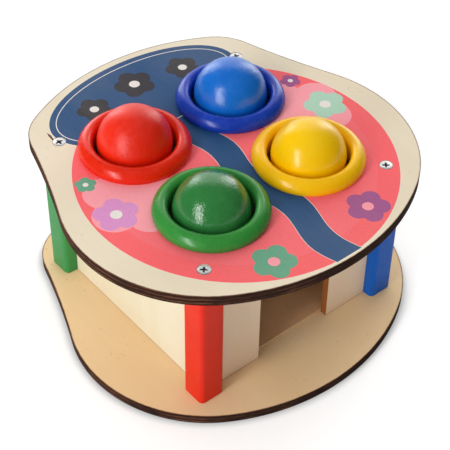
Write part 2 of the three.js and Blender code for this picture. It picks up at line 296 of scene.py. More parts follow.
def circle(centre, radius, count=None):
    return shaped(centre, count or max(16, math.ceil(math.tau * radius / POINT_SPACING)), radius)


def inside(loop, points):
    """Which of the points lie within a closed loop."""
    within = np.zeros(len(points), bool)
    x, y = points[:, 0], points[:, 1]
    for (ax, ay), (bx, by) in zip(loop, np.roll(loop, -1, axis=0)):
        if ay != by:
            crosses = (ay > y) != (by > y)
            within ^= crosses & (x < (bx - ax) * (y - ay) / (by - ay) + ax)
    return within


def fill(mesh, height, outer, holes, marks=()):
    """Fills a loop round its holes with triangles, split along its marks: the faces and their middles."""
    corners, lines = [], []
    for loop in (outer, *holes, *marks):
        first = len(corners)
        corners += [Vector(point) for point in loop]
        lines += [(first + i, first + (i + 1) % len(loop)) for i in range(len(loop))]
    corners, _, triangles, _, _, _ = delaunay_2d_cdt(corners, lines, [], 0, 1e-5)
    middles = np.array(corners)[np.array(triangles)].mean(axis=1)
    kept = inside(outer, middles)
    for hole in holes:
        kept &= ~inside(hole, middles)
    vertices = [mesh.verts.new((x, y, height)) for x, y in corners]
    faces = [mesh.faces.new([vertices[i] for i in triangles[j]]) for j in np.flatnonzero(kept)]
    return faces, middles[kept]


def ring_wall(mesh, scorch_and_painted_light, rings):
    """Joins each ring of (points, height, scorch) to the next. A ring of one point closes the wall."""
    before = None
    for points, height, char_and_painted_shade in rings:
        row = [mesh.verts.new((x, y, height)) for x, y in points]
        for vertex in row:
            vertex[scorch_and_painted_light] = char_and_painted_shade
        if before:
            count = max(len(row), len(before))
            for i in range(count):
                j = (i + 1) % count
                corners = [before[i % len(before)], before[j % len(before)],
                           row[j % len(row)], row[i % len(row)]]
                mesh.faces.new(list(dict.fromkeys(corners)))
        before = row


def eased(ease, band):
    """Rings over an eased edge, from the face to the side: how far in, how far down, how charred.
    The char fades over a band of the face, and where there is no band the edge isn't charred."""
    if band:
        return [(band, 0, 0), (ease, 0, 0.8), (0.3 * ease, 0.3 * ease, 1), (0, ease, 1)]
    return [(ease, 0, 0), (0.3 * ease, 0.3 * ease, 0), (0, ease, 0)]


CLOSE = 1e-3
SHARP_EDGE = 20


def join_open_edges(mesh):
    """Splits each open edge where corners of other open edges lie on it, and joins the two sides."""
    open_edges = [edge for edge in mesh.edges if edge.is_boundary]
    corners = {vertex for edge in open_edges for vertex in edge.verts}
    for edge in open_edges:
        near, far = edge.verts
        start, way = near.co.copy(), far.co - near.co
        shares = []
        for vertex in corners - {near, far}:
            share = (vertex.co - start).dot(way) / way.length_squared
            if 0 < share < 1 and (start + way * share - vertex.co).length < CLOSE:
                shares.append(share)
        done = 0
        for share in sorted(shares):
            _, near = bmesh.utils.edge_split(edge, near, (share - done) / (1 - done))
            done = share
    bmesh.ops.remove_doubles(mesh, verts=mesh.verts, dist=CLOSE)


def sewn(mesh):
    """Joins the parts of a mesh along their borders, and turns its faces outwards."""
    bmesh.ops.remove_doubles(mesh, verts=mesh.verts, dist=CLOSE)
    bmesh.ops.delete(mesh, geom=[vertex for vertex in mesh.verts if not vertex.link_faces], context="VERTS")
    join_open_edges(mesh)
    bmesh.ops.recalc_face_normals(mesh, faces=mesh.faces)
    return mesh


def slab(outline, ways, bottom, top, ease, band=0.0, bores=(), prints=()):
    """A flat board as a mesh in millimetres. A bore is (centre, rings of (radius, height, scorch) from the
    top down), and it opens at each face that its first or last ring lies in. A print is (loop, colour)."""
    mesh = bmesh.new()
    scorch_and_painted_light = mesh.verts.layers.float.new("scorch_and_painted_light")
    ink = mesh.loops.layers.float_color.new("ink")
    rim = eased(ease, band)
    upper = [(outline - ways * inset, top - drop, value) for inset, drop, value in rim]
    lower = [(outline - ways * inset, bottom + drop, value) for inset, drop, value in reversed(rim)]
    ring_wall(mesh, scorch_and_painted_light, upper + lower)
    holes = {top: [], bottom: []}
    for centre, rings in bores:
        steps = max(24, math.ceil(math.tau * rings[0][0] / POINT_SPACING))
        wall = [(circle(centre, radius, steps) if radius else [centre], height, value)
                for radius, height, value in rings]
        ring_wall(mesh, scorch_and_painted_light, wall)
        for loop, height, _ in (wall[0], wall[-1]):
            if height in holes:
                holes[height].append(loop)
    for face in mesh.faces:
        for corner in face.loops:
            corner[ink] = (0, 0, 0, 0)
    for height, marks in ((top, prints), (bottom, ())):
        faces, middles = fill(mesh, height, upper[0][0], holes[height], [loop for loop, _ in marks])
        colours = np.zeros((len(faces), 4))
        for loop, colour in marks:
            colours[inside(loop, middles)] = colour
        for face, colour in zip(faces, colours):
            for corner in face.loops:
                corner[ink] = colour
    return sewn(mesh)


def finished(name, mesh, material, place, node):
    """Makes a mesh in millimetres a piece of the bench, at its place."""
    data = bpy.data.meshes.new(name)
    mesh.transform(Matrix.Scale(MM, 4) @ place)
    mesh.to_mesh(data)
    mesh.free()
    data.shade_smooth()
    data.set_sharp_from_angle(angle=math.radians(SHARP_EDGE))
    data.materials.append(material)
    piece = bpy.data.objects.new(name, data)
    bpy.context.collection.objects.link(piece)
    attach(piece, "bench")
    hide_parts(node)


def middle(node):
    low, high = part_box(node)
    return (low + high) / 2 / MM


def heights(node):
    low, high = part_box(node)
    return low.z / MM, high.z / MM


hub = (middle("red_post") + middle("yellow_post")) / 2
at_hub = Matrix.Translation((hub.x, hub.y, 0))
post_places = {name: middle(f"{name}_post") - hub for name in ("green", "yellow", "red", "blue")}
ring_places = {name: middle(f"{name}_ring") - hub for name in ("red", "blue", "green", "yellow")}


# Shader groups that the wood shares: the figure of the veneer, and the edge that a laser leaves
def new_group(name, inputs, outputs, kind="ShaderNodeTree"):
    """A node group with the given sockets, what comes in through them, and where its results go."""
    group = bpy.data.node_groups.new(name, kind)
    for sockets, in_out in ((inputs, "INPUT"), (outputs, "OUTPUT")):
        for socket, holds in sockets.items():
            group.interface.new_socket(name=socket, in_out=in_out, socket_type="NodeSocket" + holds)
    return group, group.nodes.new("NodeGroupInput").outputs, group.nodes.new("NodeGroupOutput").inputs


def give(group, results, **values):
    """Joins values to the sockets that a group's results go to."""
    for name, value in values.items():
        group.links.new(value, results[name])


def weighed(tree, *parts):
    """The sum of some values, each times its weight."""
    total = 0.0
    for value, weight in parts:
        total = maths(tree, "MULTIPLY_ADD", value, weight, total)
    return total


def scaled(tree, vector, scale, turn=(0, 0, 0)):
    return add_node(tree, "ShaderNodeMapping", {
        "Vector": vector, "Scale": scale, "Rotation": turn}).outputs[0]


def noise(tree, vector, scale, detail=2.0, roughness=0.5):
    return add_node(tree, "ShaderNodeTexNoise", {
        "Vector": vector, "Scale": scale, "Detail": detail, "Roughness": roughness}).outputs["Fac"]


def mixed(tree, mask, first, second, blend="MIX"):
    """Colour mix: the first where the mask is 0, the second where it is 1."""
    return add_node(tree, "ShaderNodeMix", {0: mask, 6: first, 7: second},
                    data_type="RGBA", blend_type=blend).outputs[2]


def surface(tree, height, strength, depth, inputs):
    """The material's shader, with a bump from a height, joined to its output."""
    bump = add_node(tree, "ShaderNodeBump", {"Height": height, "Strength": strength, "Distance": depth})
    shader = add_node(tree, "ShaderNodeBsdfPrincipled", {**inputs, "Normal": bump})
    add_node(tree, "ShaderNodeOutputMaterial", {"Surface": shader})


# Veneer: long soft bands and fine fibres along the grain, and a few short dark flecks
veneer, given, results = new_group("veneer_figure", {"Place": "Vector", "Fleck amount": "Float"},
                                   {"Tone": "Float", "Fleck": "Float", "Height": "Float"})
place = given["Place"]
stretched = scaled(veneer, place, (1, 0.07, 1))
bands = noise(veneer, stretched, 60.0, 3.0, 0.55)
fibres = noise(veneer, stretched, 900.0, 2.0, 0.6)
clouds = noise(veneer, place, 14.0)
specks = noise(veneer, scaled(veneer, place, (1, 0.5, 1)), 520.0, 1.0)
patches = noise(veneer, place, 55.0, 1.0)
specks = weighed(veneer, (specks, 1.0), (patches, 0.3), (0.5, -0.3))
give(veneer, results, Tone=weighed(veneer, (bands, 0.3), (fibres, 0.12), (clouds, 0.58)), Height=fibres,
     Fleck=maths(veneer, "MULTIPLY", spread(veneer, specks, 0.70, 0.80), given["Fleck amount"]))

# Laser edge: charred where the attribute says so. The plies show as dark and brown lines along the edge,
# and the brown is strongest on the left, partly painted light where the left lamp falls on the edge
scorching, given, results = new_group(
    "laser_edge", {"Place": "Vector", "Scorch": "Float", "Bottom": "Float", "Ply": "Float"},
    {"Char": "Float", "Toast": "Float", "Colour": "Color", "Height": "Float"})
place = given["Place"]
calc = partial(maths, scorching)
split = add_node(scorching, "ShaderNodeSeparateXYZ", {0: place}).outputs
ragged = weighed(scorching, (given["Scorch"], 1.0), (noise(scorching, place, 420.0), 0.35))
layer = calc("DIVIDE", calc("SUBTRACT", split["Z"], given["Bottom"]), given["Ply"])
layer = weighed(scorching, (layer, 1.0), (noise(scorching, place, 45.0, 1.0), 0.7), (0.5, -0.7))
fold = calc("PINGPONG", layer, 1.0)
dabs = noise(scorching, scaled(scorching, place, (1, 1, 6)), 150.0, 3.0, 0.6)
PAINTED_LIGHT_LEFT_OF = 0.052
painted_left_light = weighed(scorching, (noise(scorching, place, 30.0), 1.0), (split["X"], -2.6), (PAINTED_LIGHT_LEFT_OF, -2.6))
light = calc("MULTIPLY", spread(scorching, fold, 0.30, 0.85), spread(scorching, dabs, 0.25, 0.65))
light = calc("MULTIPLY", light, spread(scorching, painted_left_light, 0.40, 0.75, 0.07, 1.0))
char = mixed(scorching, spread(scorching, dabs, 0.3, 0.7), srgb(34, 19, 14), srgb(54, 30, 21))
give(scorching, results,
     Char=spread(scorching, ragged, 0.72, 0.95), Toast=spread(scorching, ragged, 0.22, 0.75),
     Colour=mixed(scorching, light, char, srgb(112, 72, 52)),
     Height=weighed(scorching, (dabs, 1.0), (fold, 0.6)))

FLECK_BROWN = srgb(150, 108, 70)
TOAST_BROWN = srgb(150, 100, 60)


def plywood(name, light_wood, dark_wood, bottom, ply, flecks, turn=(0, 0, 0), printed=False, scorch_and_highlight_colour=None):
    """Bare plywood with charred edges. Where it is printed, the ink lies over the veneer."""
    material, tree, place = new_material(name)
    lengthways = scaled(tree, place, (1, 1, 1), turn)
    grain = add_node(tree, "ShaderNodeGroup", {"Place": lengthways, "Fleck amount": flecks},
                     node_tree=veneer).outputs
    tone = grain["Tone"]
    colour = mixed(tree, spread(tree, tone, 0.34, 0.66), dark_wood, light_wood)
    colour = mixed(tree, grain["Fleck"], colour, FLECK_BROWN)
    if printed:
        ink = add_node(tree, "ShaderNodeAttribute", attribute_name="ink").outputs
        tint = spread(tree, noise(tree, place, 900.0), 0.3, 0.7, 0.96, 1.03)
        tinted = mixed(tree, 1.0, ink["Color"], tint, "MULTIPLY")
        tinted = mixed(tree, spread(tree, tone, 0.35, 0.65, 0.0, 0.05), tinted, light_wood)
        colour = mixed(tree, ink["Alpha"], colour, tinted)
    burn_and_painted_highlight = add_node(tree, "ShaderNodeAttribute", attribute_name="scorch_and_painted_light").outputs["Fac"]
    edge = add_node(tree, "ShaderNodeGroup", {"Place": place, "Scorch": burn_and_painted_highlight, "Bottom": bottom, "Ply": ply},
                    node_tree=scorching).outputs
    colour = mixed(tree, maths(tree, "MULTIPLY", edge["Toast"], 0.75), colour, scorch_and_highlight_colour or TOAST_BROWN)
    colour = mixed(tree, edge["Char"], colour, scorch_and_highlight_colour or edge["Colour"])
    rough = weighed(tree, (spread(tree, tone, 0.3, 0.7, 0.55, 0.66), 1.0), (edge["Char"], 0.4))
    lumps = maths(tree, "MULTIPLY", edge["Height"], edge["Char"])
    surface(tree, weighed(tree, (grain["Height"], 0.15), (lumps, 0.6)), 0.35, 0.0002, {
        "Base Color": colour, "Roughness": rough, "Specular IOR Level": 0.18})
    return material


CORAL = srgb(255, 101, 106)
LIGHT_CORAL = srgb(255, 109, 117)
NAVY = srgb(36, 80, 127)
PALE_PINK = srgb(255, 160, 170)
LILAC = srgb(222, 146, 202)
PLUM = srgb(166, 84, 142)
MINT = srgb(176, 214, 190)
TEAL = srgb(104, 168, 136)
SLATE = srgb(50, 48, 56)
CREAM = srgb(236, 230, 222)
UNDERCOAT = srgb(240, 228, 210)


def flower(centre, radius, colour, heart, start):
    """A flower of five round petals that overlap, and its heart."""
    offset, lobe, half = 0.56 * radius, 0.44 * radius, math.pi / 5

    def reach(turn):
        across = (turn - start + half) % (2 * half) - half
        return offset * np.cos(across) + np.sqrt(lobe ** 2 - (offset * np.sin(across)) ** 2)

    return [(shaped(centre, 90, reach), colour), (circle(centre, 0.26 * radius, 28), heart)]


FIELD_CENTRE = (0, -13.5)
FIELD_RADIUS = 95
INNER_RADIUS = 82
CAP_CENTRE = (0, 73)
CAP_HALF_WIDTH = 67.5
CAP_HALF_DEPTH = 35.5
RIBBON_TOP = 52
RIBBON_SWING = 3.2
RIBBON_WAVE = 64
RIBBON_HALF_WIDTH = 9
UNDERCOAT_SHOWS = 0.3
PIPING_INSET = 4
PIPING_WIDTH = 0.6


def cap(inset):
    """The navy field on the head: an oval."""
    width, depth = CAP_HALF_WIDTH - inset, CAP_HALF_DEPTH - inset
    return shaped(CAP_CENTRE, 240, lambda turn: 1 / np.hypot(np.cos(turn) / width, np.sin(turn) / depth))


def ribbon(half_width):
    """The navy ribbon from the head to the tail, which waves from side to side."""
    y = np.linspace(FIELD_CENTRE[1] - FIELD_RADIUS - 0.2, RIBBON_TOP, 140)
    x = RIBBON_SWING * np.sin((y - RIBBON_TOP) * math.tau / RIBBON_WAVE)
    return np.vstack((np.column_stack((x + half_width, y)), np.column_stack((x - half_width, y))[::-1]))


prints = [
    (circle(FIELD_CENTRE, FIELD_RADIUS + UNDERCOAT_SHOWS), UNDERCOAT),
    (circle(FIELD_CENTRE, FIELD_RADIUS), CORAL),
    (circle(FIELD_CENTRE, INNER_RADIUS), LIGHT_CORAL),
]
for side, big, small in ((-1, LILAC, TEAL), (1, MINT, PLUM)):
    prints += flower((side * 64, 0), 30, PALE_PINK, PALE_PINK, side * 0.35)
    prints += flower((side * 79, -4), 13.5, big, CREAM, side * 0.1)
    prints += flower((side * 35, -87), 13, small, PALE_PINK, side * 0.6)
    prints += flower((side * 78, 27), 6.5, small, CREAM, side * 0.2)
prints += [
    (ribbon(RIBBON_HALF_WIDTH + UNDERCOAT_SHOWS), UNDERCOAT),
    (cap(-UNDERCOAT_SHOWS), UNDERCOAT),
    (ribbon(RIBBON_HALF_WIDTH), NAVY),
    (cap(0), NAVY),
    (cap(PIPING_INSET), CREAM),
    (cap(PIPING_INSET + PIPING_WIDTH), NAVY),
]
for x, y, radius in ((0, 85, 13), (-34, 80, 11), (34, 80, 11)):
    prints += flower((x, y), radius, SLATE, CREAM, math.pi / 2)
# A thin dark scar in the bare wood left of the head
scar = np.array(((-70.4, 70.6), (-69.4, 71.4), (-68.5, 76), (-69.1, 79.5), (-70.0, 76)))
prints.append((scar, srgb(84, 52, 32)))

PLATE_EASE = 0.12
SCORCH_BAND = 0.95
RING_HOLE = 52.6 / 2
SCREW_HEAD = 7.6 / 2
SCREW_SHANK = 3.4 / 2
SCREW_CLEARANCE = 0.3
COUNTERSINK_WALL = 0.6


def ring_hole(bottom, top):
    rim = eased(PLATE_EASE, SCORCH_BAND)
    rings = [(RING_HOLE + out, top - drop, value) for out, drop, value in rim]
    return rings + [(RING_HOLE + out, bottom + drop, value) for out, drop, value in reversed(rim)]


def screw_hole(face, other):
    """A countersunk hole from one face of a plate to the other, as rings from the top down."""
    way = 1 if face > other else -1
    head, shank = SCREW_HEAD + SCREW_CLEARANCE, SCREW_SHANK + SCREW_CLEARANCE
    straight = face - way * COUNTERSINK_WALL
    cone_end = straight - way * (head - shank)
    rings = [(head, face, 0), (head, straight, 0), (shank, cone_end, 0), (shank, other, 0)]
    return rings if way > 0 else rings[::-1]


outline, outward = ladybird_outline()
base_low, base_high = heights("base_plate")
top_low, top_high = heights("top_plate")
top_bores = [((place.x, place.y), ring_hole(top_low, top_high)) for place in ring_places.values()]
top_bores += [((place.x, place.y), screw_hole(top_high, top_low)) for place in post_places.values()]
base_bores = [((place.x, place.y), screw_hole(base_low, base_high)) for place in post_places.values()]

printed_plywood = plywood(
    "printed_plywood", srgb(240, 228, 203), srgb(234, 219, 192),
    bottom=top_low * MM, ply=0.00136, flecks=0.16, printed=True)
plain_plywood = plywood(
    "plain_plywood", srgb(243, 212, 168), srgb(237, 204, 157),
    bottom=base_low * MM, ply=0.0012, flecks=0.22, turn=(0, 0, 0.05))
sheet = slab(outline, outward, top_low, top_high, PLATE_EASE, SCORCH_BAND, top_bores, prints)
finished("printed_plate", sheet, printed_plywood, at_hub, "top_plate")
sheet = slab(outline, outward, base_low, base_high, PLATE_EASE, SCORCH_BAND, base_bores)
finished("standing_plate", sheet, plain_plywood, at_hub, "base_plate")


# Posts
# Square bars of wood with rounded edges, sprayed in gloss paint, red, blue, green and yellow.
# Each stands between the plates, and a screw comes into each end through a plate.
def rounded_loop(corners, radius):
    """A convex outline with rounded corners, anticlockwise, and at each point the way out."""
    points, ways = [], []
    corners = np.array(corners, float)
    for before, corner, after in zip(np.roll(corners, 1, axis=0), corners, np.roll(corners, -1, axis=0)):
        start = angle(before, corner) - math.pi / 2
        turn = (angle(corner, after) - angle(before, corner)) % math.tau
        half = turn / 2
        inward = start + half + math.pi
        centre = corner + np.array((math.cos(inward), math.sin(inward))) * radius / math.cos(half)
        for step in np.linspace(start, start + turn, max(2, math.ceil(turn / math.radians(13)) + 1)):
            way = np.array((math.cos(step), math.sin(step)))
            points.append(centre + radius * way)
            ways.append(way)
    return np.array(points), np.array(ways)


def rectangle(width, depth):
    x, y = width / 2, depth / 2
    return [(-x, -y), (x, -y), (x, y), (-x, y)]


# Paint over wood: an uneven tone, fibres and pores that show in the gloss
coating, given, results = new_group("paint_film", {"Place": "Vector", "Grain": "Float"},
                                    {"Tone": "Float", "Polish": "Float", "Height": "Float"})
place = given["Place"]
fine = noise(coating, place, 240.0)
fibre = noise(coating, scaled(coating, place, (1, 1, 0.15)), 800.0, 3.0, 0.65)
give(coating, results, Polish=fine,
     Tone=weighed(coating, (noise(coating, place, 38.0), 0.65), (fine, 0.35)),
     Height=weighed(coating, (fibre, given["Grain"]), (noise(coating, place, 700.0), 1.0)))


def painted(name, colour, shade, roughness, grain, dents, shine):
    """Gloss paint: the colour, its darker shade where the film is thin, and its polish."""
    material, tree, place = new_material(name)
    film = add_node(tree, "ShaderNodeGroup", {"Place": place, "Grain": grain}, node_tree=coating).outputs
    surface(tree, film["Height"], dents, 0.0001, {
        "Base Color": mixed(tree, spread(tree, film["Tone"], 0.3, 0.7), shade, colour),
        "Roughness": spread(tree, film["Polish"], 0.3, 0.7, roughness * 0.85, roughness * 1.2),
        "Specular IOR Level": shine})
    return material


POST_SIDE = 17
POST_RADIUS = 3
POST_EASE = 0.5
SCREW_LENGTH = 28
PILOT = SCREW_SHANK + SCREW_CLEARANCE
PILOT_SPARE = 1
post_colours = {
    "red": (srgb(228, 44, 20), srgb(220, 38, 16)),
    "blue": (srgb(12, 96, 196), srgb(12, 90, 184)),
    "green": (srgb(66, 148, 82), srgb(60, 140, 74)),
    "yellow": (srgb(255, 202, 10), srgb(250, 192, 4)),
}
post_low, post_high = heights("red_post")
deep_low = post_low + SCREW_LENGTH - (base_high - base_low) + PILOT_SPARE
deep_high = post_high - SCREW_LENGTH + (top_high - top_low) - PILOT_SPARE
pilots = [
    ((0, 0), [(PILOT, post_high, 0), (PILOT, deep_high, 0), (0, deep_high, 0)]),
    ((0, 0), [(0, deep_low, 0), (PILOT, deep_low, 0), (PILOT, post_low, 0)]),
]
post_outline, post_outward = rounded_loop(rectangle(POST_SIDE, POST_SIDE), POST_RADIUS)
for name, place in post_places.items():
    colour, shade = post_colours[name]
    bar = slab(post_outline, post_outward, post_low, post_high, POST_EASE, bores=pilots)
    paint = painted(f"{name}_post_paint", colour, shade, roughness=0.4, grain=1.0, dents=0.2, shine=0.18)
    finished(f"painted_{name}_post", bar, paint, at_hub @ Matrix.Translation((place.x, place.y, 0)),
             f"{name}_post")


# Walls and gate boards
# Thin bare boards, cut by laser, that stand between the posts. Their cut edges are toasted brown, which
# shows at the gate and as a thin line along the foot of each board.
WALL_EASE = 0.15
WALL_BAND = 0.5
WALL_CORNER = 0.6
standing = {"bottom": base_high * MM, "ply": 0.0016, "flecks": 0.12, "turn": (math.pi / 2, 0, 0)}
wall_board = plywood(
    "wall_board", srgb(236, 228, 203), srgb(230, 219, 190), scorch_and_highlight_colour=srgb(150, 84, 34), **standing)
# The gate boards are the side boards' plywood made warmer: painted bounce light from the lower plate.
gate_board_painted_bounce = plywood(
    "gate_board_painted_bounce", srgb(252, 229, 202), srgb(247, 220, 190), scorch_and_highlight_colour=srgb(160, 96, 46), **standing)


def board(name, node, material=wall_board):
    """A board that stands upright where its node is."""
    low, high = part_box(node)
    size = (high - low) / MM
    thickness, length = sorted((size.x, size.y))
    points, ways = rounded_loop(rectangle(length, size.z), WALL_CORNER)
    mesh = slab(points, ways, -thickness / 2, thickness / 2, WALL_EASE, WALL_BAND)
    upright = Matrix.Rotation(math.pi / 2, 4, "X")
    if size.y > size.x:
        upright = Matrix.Rotation(math.pi / 2, 4, "Z") @ upright
    finished(name, mesh, material, Matrix.Translation(middle(node)) @ upright, node)


board("left_side_board", "left_wall")
board("right_side_board", "right_wall")
board("head_board", "head_wall")
board("left_gate_board", "gate_jamb_left", gate_board_painted_bounce)
board("right_gate_board", "gate_jamb_right", gate_board_painted_bounce)
board("ramp_strip", "ramp_rest")


# Ramp
# One thin board that falls from the head wall to the gate, thinned at its foot, where a ball rolls out.
# Its darker, warmer wood is painted shade inside the box, and its pale foot is a painted highlight on the
# cut.
RAMP_SLOPE = math.radians(12)
RAMP_THICKNESS = 3
RAMP_FOOT = 2
RAMP_CORNER = 0.35
RAMP_EASE = 0.1
PAINTED_HIGHLIGHT_REACH = 0.01
ramp_low, ramp_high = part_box("ramp")
rise = math.tan(RAMP_SLOPE)
foot_y, head_y = ramp_low.y / MM, ramp_high.y / MM
foot_z = ramp_low.z / MM
head_z = foot_z + RAMP_FOOT + (head_y - foot_y) * rise
upright_thickness = RAMP_THICKNESS / math.cos(RAMP_SLOPE)
flat_end = foot_y + (upright_thickness - RAMP_FOOT) / rise
ramp_side = [(foot_y, foot_z), (flat_end, foot_z), (head_y, head_z - upright_thickness), (head_y, head_z),
             (foot_y, foot_z + RAMP_FOOT)]
points, ways = rounded_loop(ramp_side, RAMP_CORNER)
half_width = (ramp_high.x - ramp_low.x) / 2 / MM
# Painted shade: the ramp's wood is darker and warmer than the plates'. Its pale edge colour is a painted
# highlight.
ramp_wood_painted_shade = plywood(
    "ramp_wood_painted_shade", srgb(224, 176, 134), srgb(208, 158, 116),
    bottom=base_high * MM, ply=0.001, flecks=0.2, scorch_and_highlight_colour=srgb(238, 206, 160))
ramp_mesh = slab(points, ways, -half_width, half_width, RAMP_EASE)
# The foot's face is marked for the pale edge colour: a painted highlight where the cut edge catches light.
painted_foot_highlight = ramp_mesh.verts.layers.float["scorch_and_painted_light"]
for vertex in ramp_mesh.verts:
    if abs(vertex.co.x - foot_y) < PAINTED_HIGHLIGHT_REACH:
        vertex[painted_foot_highlight] = 1
# The slab's outline is the ramp's side: its x becomes y, its y becomes z, and its thickness lies along x
lying = Matrix(((0, 0, 1, 0), (1, 0, 0, 0), (0, 1, 0, 0), (0, 0, 0, 1)))
finished("ramp_board", ramp_mesh, ramp_wood_painted_shade, lying, "ramp")


# Rings and grip rings
# Four gloss rings that slope away outside their crests, each with a spigot in its hole in the upper plate.
# Below each spigot a soft rubber ring sits in the hole, and its lip holds the ball up until it is struck.
def grid_place(tree, rows):
    """The column and the row of a grid that a corner lies in."""
    index = add_node(tree, "GeometryNodeInputIndex").outputs[0]
    column = maths(tree, "FLOOR", maths(tree, "DIVIDE", maths(tree, "ADD", index, 0.5), rows))
    return column, maths(tree, "SUBTRACT", index, maths(tree, "MULTIPLY", column, rows))


def round_axis(tree, share, radius, height):
    """The place at a share of a full turn round the upright axis."""
    turn = maths(tree, "MULTIPLY", share, math.tau)
    x = maths(tree, "MULTIPLY", radius, maths(tree, "COSINE", turn))
    y = maths(tree, "MULTIPLY", radius, maths(tree, "SINE", turn))
    return add_node(tree, "ShaderNodeCombineXYZ", {"X": x, "Y": y, "Z": height})


def made_real(tree, results, shape, material):
    """Ends a geometry node tree: makes its instances real and gives them the material."""
    real = add_node(tree, "GeometryNodeRealizeInstances", {"Geometry": shape})
    coloured = add_node(tree, "GeometryNodeSetMaterial", {"Geometry": real, "Material": material})
    give(tree, results, Geometry=coloured.outputs[0])


# A grid with one row for each point of the profile is bent round the axis, and its seam is welded
turning, given, results = new_group("turned_on_a_lathe", {
    "Profile": "Geometry", "Steps": "Int", "Centre": "Vector", "Weld distance": "Float",
    "Material": "Material",
}, {"Geometry": "Geometry"}, "GeometryNodeTree")
rows = add_node(turning, "GeometryNodeAttributeDomainSize", {"Geometry": given["Profile"]}).outputs[0]
columns = maths(turning, "ADD", given["Steps"], 1)
shape = add_node(turning, "GeometryNodeMeshGrid", {"Vertices X": columns, "Vertices Y": rows})
column, row = grid_place(turning, rows)
sample = add_node(turning, "GeometryNodeSampleIndex", {
    "Geometry": given["Profile"], "Value": add_node(turning, "GeometryNodeInputPosition"), "Index": row,
}, data_type="FLOAT_VECTOR")
point = add_node(turning, "ShaderNodeSeparateXYZ", {0: sample}).outputs
bent = round_axis(turning, maths(turning, "DIVIDE", column, given["Steps"]), point["X"], point["Z"])
bent = add_node(turning, "ShaderNodeVectorMath", {0: bent, 1: given["Centre"]}, operation="ADD")
shape = add_node(turning, "GeometryNodeSetPosition", {"Geometry": shape, "Position": bent})
shape = add_node(turning, "GeometryNodeMergeByDistance", {
    "Geometry": shape, "Distance": given["Weld distance"]})
shape = add_node(turning, "GeometryNodeSetShadeSmooth", {"Geometry": shape})
made_real(turning, results, shape, given["Material"])


def made_by(piece, group, sharp, values):
    """Gives a piece the mesh that a geometry node group makes of it, sharp past some degrees."""
    modifier = piece.modifiers.new(group.name, "NODES")
    modifier.node_group = group
    for socket in group.interface.items_tree:
        if socket.name in values:
            modifier[socket.identifier] = values[socket.name]
    bpy.context.collection.objects.link(piece)
    mesh = bpy.data.meshes.new_from_object(piece.evaluated_get(bpy.context.evaluated_depsgraph_get()))
    mesh.name = piece.name
    piece.modifiers.clear()
    piece.data = mesh
    shell = bmesh.new()
    shell.from_mesh(mesh)
    bmesh.ops.recalc_face_normals(shell, faces=shell.faces)
    shell.to_mesh(mesh)
    shell.free()
    mesh.set_sharp_from_angle(angle=math.radians(sharp))


def turned(name, profile, centre, steps, material, node, body):
    """A piece turned from a profile of (radius, height) in millimetres about an upright axis."""
    data = bpy.data.meshes.new(name)
    data.from_pydata([(radius * MM, 0, height * MM) for radius, height in profile],
                     [(i, i + 1) for i in range(len(profile) - 1)], [])
    piece = bpy.data.objects.new(name, data)
    made_by(piece, turning, sharp=40, values={
        "Steps": steps, "Centre": tuple(Vector(centre) * MM), "Weld distance": 1e-6, "Material": material})
    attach(piece, body)
    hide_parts(node)


BORE = 49 / 2
RING_FOOT = 65.6 / 2
RING_OUTER = 67.2 / 2
RING_CREST = 56 / 2
WIDEST_HEIGHT = 2.4
BORE_HEIGHT = 4.3
RING_HEIGHT = 8.3
OUTER_ROUNDNESS = 1.7
SPIGOT = 52 / 2
SPIGOT_DEPTH = 4.8
SPIGOT_EASE = 0.25
RING_STEPS = 144


def quarter(steps, first=0):
    """Turns of a quarter circle, as pairs of sine and cosine."""
    turns = [math.pi / 2 * i / steps for i in range(first, steps + 1)]
    return [(math.sin(turn), max(math.cos(turn), 0)) for turn in turns]


def ring_profile():
    """The roll on the plate and the spigot below it, from the bore's foot round the outside and back."""
    points = [(BORE + SPIGOT_EASE, -SPIGOT_DEPTH), (SPIGOT - SPIGOT_EASE, -SPIGOT_DEPTH),
              (SPIGOT, -SPIGOT_DEPTH + SPIGOT_EASE), (SPIGOT, 0)]
    for sine, cosine in quarter(8):
        points.append((RING_FOOT + (RING_OUTER - RING_FOOT) * sine, WIDEST_HEIGHT * (1 - cosine)))
    bulge = 2 / OUTER_ROUNDNESS
    for sine, cosine in quarter(26, 1):
        points.append((RING_CREST + (RING_OUTER - RING_CREST) * cosine ** bulge,
                       WIDEST_HEIGHT + (RING_HEIGHT - WIDEST_HEIGHT) * sine ** bulge))
    for sine, cosine in quarter(16, 1):
        points.append((RING_CREST - (RING_CREST - BORE) * sine,
                       BORE_HEIGHT + (RING_HEIGHT - BORE_HEIGHT) * cosine))
    return points + [(BORE, -SPIGOT_DEPTH + SPIGOT_EASE), points[0]]


GRIP = 52 / 2
GRIP_BAND = 1.4
GRIP_NOSE = 0.6
GRIP_GAP = 0.3
GRIP_CLEARANCE = 0.3
GRIP_STEPS = 96
LIP_STEPS = 16
BALL_RADIUS = 44.6 / 2


def grip_profile(ball_height):
    """A band in the plate's hole, with a rounded lip that reaches in under the ball."""
    band = GRIP - GRIP_BAND
    top = -SPIGOT_DEPTH - GRIP_GAP
    bottom = -(top_high - top_low) + GRIP_GAP
    lip = (top + bottom) / 2
    nose = math.sqrt((BALL_RADIUS + GRIP_NOSE + GRIP_CLEARANCE) ** 2 - (ball_height - lip) ** 2)
    points = [(GRIP, bottom), (GRIP, top), (band, top)]
    for i in range(LIP_STEPS + 1):
        turn = math.pi / 2 + math.pi * i / LIP_STEPS
        points.append((nose + GRIP_NOSE * math.cos(turn), lip + GRIP_NOSE * math.sin(turn)))
    return points + [(band, bottom), (GRIP, bottom)]


